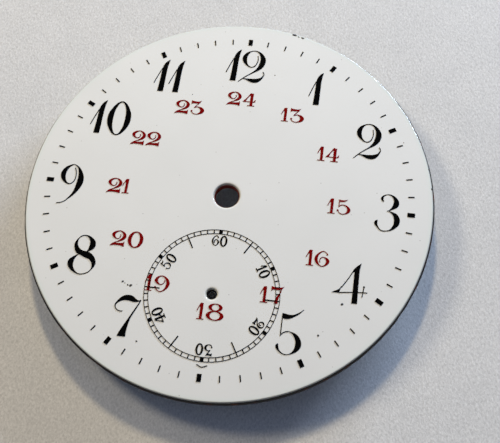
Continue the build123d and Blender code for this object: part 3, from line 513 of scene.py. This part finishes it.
# %% Make the feet and their braze
skirt = dome_height(ENAMEL_THICKNESS + COPPER_THICKNESS + COUNTER_THICKNESS, FOOT_RING, 0)
root_end = skirt - ROOT_LENGTH
buried = skirt + 0.15
for number, foot in enumerate(feet, start=1):
    pin = [(0, -FOOT_DROP), (0.36, -FOOT_DROP), (0.41, -FOOT_DROP + 0.01), (0.49, -FOOT_DROP + 0.09),
           (FOOT_RADIUS, -FOOT_DROP + 0.14), (FOOT_RADIUS, -2.2), (FOOT_RADIUS, -1.6),
           (FOOT_RADIUS, root_end - 0.03), (FOOT_RADIUS + 0.03, root_end), (ROOT_RADIUS - 0.03, root_end),
           (ROOT_RADIUS, root_end + 0.03), (ROOT_RADIUS, skirt), (ROOT_RADIUS, buried), (0, buried)]
    finish_piece(spin_outline(pin, foot), f"foot_pin_{number}", wire, "foot_copper", f"dial_foot_{number}")
    hollow = [(BRAZE_RADIUS - BRAZE_HOLLOW * math.sin(math.radians(a)),
               skirt - BRAZE_HOLLOW + BRAZE_HOLLOW * math.cos(math.radians(a))) for a in range(0, 91, 15)]
    inside_top = (ROOT_RADIUS, skirt + BRAZE_TOP)
    pool = [inside_top, (BRAZE_RADIUS, skirt + BRAZE_TOP)] + hollow
    bm = spin_outline(pool + [(ROOT_RADIUS, skirt - BRAZE_HOLLOW), inside_top], foot)
    for v in bm.verts:
        if v.co.z < skirt - 0.01:
            v.co.z += wander(v, length=0.5, amount=0.03, seed=number * 5)
    finish_piece(bm, f"solder_pool_{number}", braze, "braze", f"foot_braze_{number}")


# %% [markdown]
# ## Specks in the enamel
# Scale from the furnace and grit in the powder leave small dark specks in the glass, and the edge has a few
# chips where the enamel came away from the lip. They could be painted by the material, but real ones have
# a body: each is a grain that stands half out of the surface. So each is a small sphere, flattened, made
# uneven and sunk in the enamel to its middle. Near the rim it lies lower, on the rounded shoulder.

# %% Mix the dark grit
grit, tree, shader, place = start_material("kiln_grit_oxide", Roughness=0.6, IOR=1.6)
grain = add_node(tree, "ShaderNodeTexNoise", Vector=place, Scale=1 / (0.08 * MM), Detail=3.0)
tone = add_node(tree, "ShaderNodeMix", {"data_type": "RGBA"}, Factor=grain.outputs["Fac"],
                _6=colour("#0E0B0A"), _7=colour("#34302A"))
tree.links.new(tone.outputs[2], shader.inputs["Base Color"])
bump = add_node(tree, "ShaderNodeBump", Strength=0.4, Distance=0.01 * MM, Height=grain.outputs["Fac"])
tree.links.new(bump.outputs["Normal"], shader.inputs["Normal"])
print("grit: roughness", round(shader.inputs["Roughness"].default_value, 2))


# %% Set the specks: place, half length, half width, direction of the length in degrees
specks = [(-8.71, -9.93, 0.13, 0.10, 20), (-8.17, -10.22, 0.11, 0.07, 150), (-7.87, -10.24, 0.16, 0.13, 40),
          (-8.45, -10.06, 0.08, 0.04, 150), (12.34, -9.76, 0.14, 0.12, 40), (10.42, -12.99, 0.11, 0.10, 0),
          (-6.35, -15.52, 0.10, 0.08, 0), (3.09, 14.37, 0.06, 0.05, 0), (-5.24, 11.15, 0.05, 0.05, 0),
          (16.99, 7.86, 0.05, 0.04, 0), (4.58, 19.66, 0.26, 0.12, -13), (5.04, 19.47, 0.11, 0.06, -15),
          (5.48, 19.36, 0.18, 0.09, -16), (16.2, 12.22, 0.12, 0.06, -53), (17.0, 11.2, 0.07, 0.05, -57),
          (18.51, 8.48, 0.08, 0.06, -66), (19.62, 5.16, 0.10, 0.06, -75), (20.03, 3.03, 0.12, 0.06, -81)]
bm = bmesh.new()
for x, y, length, width, turn in specks:
    grain = bmesh.ops.create_icosphere(bm, subdivisions=3, radius=1)["verts"]
    over = max(0, math.hypot(x, y) - LIP_INNER_RADIUS + SHOULDER)
    level = dome_height(0, x, y) - SHOULDER + math.sqrt(SHOULDER**2 - min(over, 0.95 * SHOULDER)**2)
    bmesh.ops.scale(bm, verts=grain, vec=(length, width, SPECK_HEIGHT))
    bmesh.ops.rotate(bm, verts=grain, cent=(0, 0, 0), matrix=Matrix.Rotation(math.radians(turn), 3, "Z"))
    bmesh.ops.translate(bm, verts=grain, vec=(x, y, level))
    for v in grain:
        v.co.xy += Vector([wander(v, length=0.07, amount=0.025, seed=seed) for seed in (41, 43)])
finish_piece(bm, "kiln_specks", grit, "white_enamel")


# %% [markdown]
# ## The printed marks
# The marks are the CAD model's own solids, so only their finish is set here. Each keeps its node, and all
# of one colour share one paint.

# %% Paint the printed marks
black_marks = [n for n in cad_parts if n.startswith(("hour_", "minute_", "seconds_"))]
red_marks = [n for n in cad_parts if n.startswith("red_")]
for marks, paint, slot in ((black_marks, black_paint, "black_print"), (red_marks, red_paint, "red_print")):
    for name in marks:
        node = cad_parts[name]
        node.data.materials.clear()
        node.data.materials.append(paint)
print("black marks:", len(black_marks), "red marks:", len(red_marks))


# %% [markdown]
# ## The floor
# The dial stands on its feet on a pale sheet of soft, thick paper, 3 mm under its back. The sheet is a plain
# light grey with a grain of fibres 0.2 mm wide that lie in all directions, and with wide faint clouds. Its
# beige and blue shades in the photograph are not in the paper: they come from the colours of the lamps.

# %% Mix the paper
floor_material, tree, shader, place = start_material("paper_pale_grey", Roughness=0.8, IOR=1.45)
stretch = add_node(tree, "ShaderNodeMapping", Vector=place, Rotation=(0, 0, 0.9), Scale=(1, 0.7, 1))
fibre = add_node(tree, "ShaderNodeTexNoise", Vector=stretch.outputs[0], Scale=1 / (0.2 * MM), Detail=4.0,
                 Roughness=0.6, Distortion=0.6)
cloud = add_node(tree, "ShaderNodeTexNoise", Vector=place, Scale=1 / (5 * MM), Detail=5.0)
tone = add_node(tree, "ShaderNodeMix", {"data_type": "RGBA"}, Factor=cloud.outputs["Fac"],
                _6=colour("#DDDCDB"), _7=colour("#CECECE"))
fleck = add_node(tree, "ShaderNodeMapRange", Value=fibre.outputs["Fac"], From_Min=0.3, From_Max=0.7,
                 To_Min=0.75, To_Max=1.08)
tone = add_node(tree, "ShaderNodeMix", {"data_type": "RGBA", "blend_type": "MULTIPLY"}, Factor=1.0,
                _6=tone.outputs[2], _7=fleck.outputs[0])
tree.links.new(tone.outputs[2], shader.inputs["Base Color"])
nap = add_node(tree, "ShaderNodeBump", Strength=0.4, Distance=0.06 * MM, Height=fibre.outputs["Fac"])
tree.links.new(nap.outputs["Normal"], shader.inputs["Normal"])
print("paper: nodes", len(tree.nodes))


# %% Lay the floor
bm = bmesh.new()
bmesh.ops.create_grid(bm, x_segments=4, y_segments=4, size=0.6)
bmesh.ops.translate(bm, verts=bm.verts, vec=(0, 0, -FOOT_DROP * MM))
mesh = bpy.data.meshes.new("floor")
bm.to_mesh(mesh)
bm.free()
mesh.materials.append(floor_material)
floor = bpy.data.objects.new("floor", mesh)
bpy.context.collection.objects.link(floor)
print("floor at, mm:", -FOOT_DROP)


# %% [markdown]
# ## The light
# The shadows in the photograph tell where its light came from. The crisp blue-grey shadow below the dial is
# where two warm lights are blocked, one beyond the top edge and one on the upper left. The soft beige shade
# along the lower left is where a wide, cool one on the upper right is blocked, low like a window. So there
# are three lamps, placed by compass angle and height angle as in a studio, and a dim world. The warm lamps
# are kept out of reflections, because real ones behind a wide diffuser leave no hard glints.

# %% Hang the lamps
def hang_lamp(name, azimuth, elevation, distance, size, watts, tint):
    data = bpy.data.lights.new(name, "AREA")
    data.shape = "RECTANGLE"
    data.size, data.size_y = size
    data.energy = watts
    data.color = colour(tint)[:3]
    lamp = bpy.data.objects.new(name, data)
    bpy.context.collection.objects.link(lamp)
    turn, tilt = math.radians(azimuth), math.radians(elevation)
    lamp.location = (distance * math.cos(turn) * math.cos(tilt), distance * math.sin(turn) * math.cos(tilt),
                     distance * math.sin(tilt))
    lamp.rotation_euler = lamp.location.to_track_quat("Z", "Y").to_euler()
    print(name, "at", [round(c, 2) for c in lamp.location], "watts", watts)
    return lamp


lamp_top = hang_lamp("lamp_top", 100, 42, 0.45, (0.045, 0.045), 1.1, "#FFEABF")
lamp_left = hang_lamp("lamp_left", 150, 40, 0.40, (0.08, 0.08), 0.61, "#FFF4DB")
lamp_top.visible_glossy = lamp_left.visible_glossy = False
hang_lamp("window_right", 60, 14, 0.35, (0.20, 0.05), 2.0, "#CEE2FF")


# %% [markdown]
# ## The world
# The world gives the little light that reaches every side, brighter overhead than at the horizon. What the
# camera and reflections see of it is a plain pale grey instead, so that the picture has a pale background
# from any side and the polished parts mirror a bright room.

# %% Light the world
world = bpy.data.worlds.new("studio")
bpy.context.scene.world = world
world.use_nodes = True
tree = world.node_tree
sky = tree.nodes["Background"]
sky.inputs["Color"].default_value = colour("#C2D5FF")
direction = add_node(tree, "ShaderNodeTexCoord").outputs["Generated"]
heading = add_node(tree, "ShaderNodeSeparateXYZ", Vector=direction)
rise = add_node(tree, "ShaderNodeMapRange", Value=heading.outputs[2], To_Min=0.07, To_Max=0.24)
tree.links.new(rise.outputs[0], sky.inputs["Strength"])
ray = add_node(tree, "ShaderNodeLightPath").outputs
seen = add_node(tree, "ShaderNodeMath", {"operation": "MAXIMUM"}, _0=ray["Is Camera Ray"],
                _1=ray["Is Glossy Ray"])
seen = add_node(tree, "ShaderNodeMath", {"operation": "MAXIMUM"}, _0=seen.outputs[0],
                _1=ray["Is Transmission Ray"])
pale = add_node(tree, "ShaderNodeBackground", Color=colour("#D9DBDE"), Strength=1.0)
both = add_node(tree, "ShaderNodeMixShader", _0=seen.outputs[0], _1=sky.outputs[0], _2=pale.outputs[0])
tree.links.new(both.outputs[0], tree.nodes["World Output"].inputs["Surface"])
print("world strength from", rise.inputs["To Min"].default_value, "to", rise.inputs["To Max"].default_value)


# %% [markdown]
# ## The camera
# The photograph was taken from above the lower edge of the dial, about 23 degrees off its axis, from some
# 82 mm away. That is close, so the near edge is larger. The place and direction come from fitting the
# known circles of the dial to the picture.

# %% Set up the camera
camera_data = bpy.data.cameras.new("camera")
camera_data.sensor_width = 36
camera_data.lens = 59.41
camera_data.clip_start = 0.001
camera = bpy.data.objects.new("camera", camera_data)
bpy.context.collection.objects.link(camera)
looking = Vector((-0.09805, 0.36406, -0.92620)).normalized()
top_of_picture = Vector((-0.10211, 0.92209, 0.37326))
backward = -looking
sideways = top_of_picture.cross(backward).normalized()
upward = backward.cross(sideways)
bpy.context.scene.camera = camera
camera.location = (10.588 * MM, -31.898 * MM, 75.50 * MM)
camera.rotation_euler = Matrix((sideways, upward, backward)).transposed().to_euler()
bpy.context.scene.view_settings.view_transform = "Standard"
print("camera at, mm:", [round(c / MM, 1) for c in camera.location])


# %% [markdown]
# ## The end
# The last cell brings the scene up to date.

# %% Bring the scene up to date
bpy.context.view_layer.update()
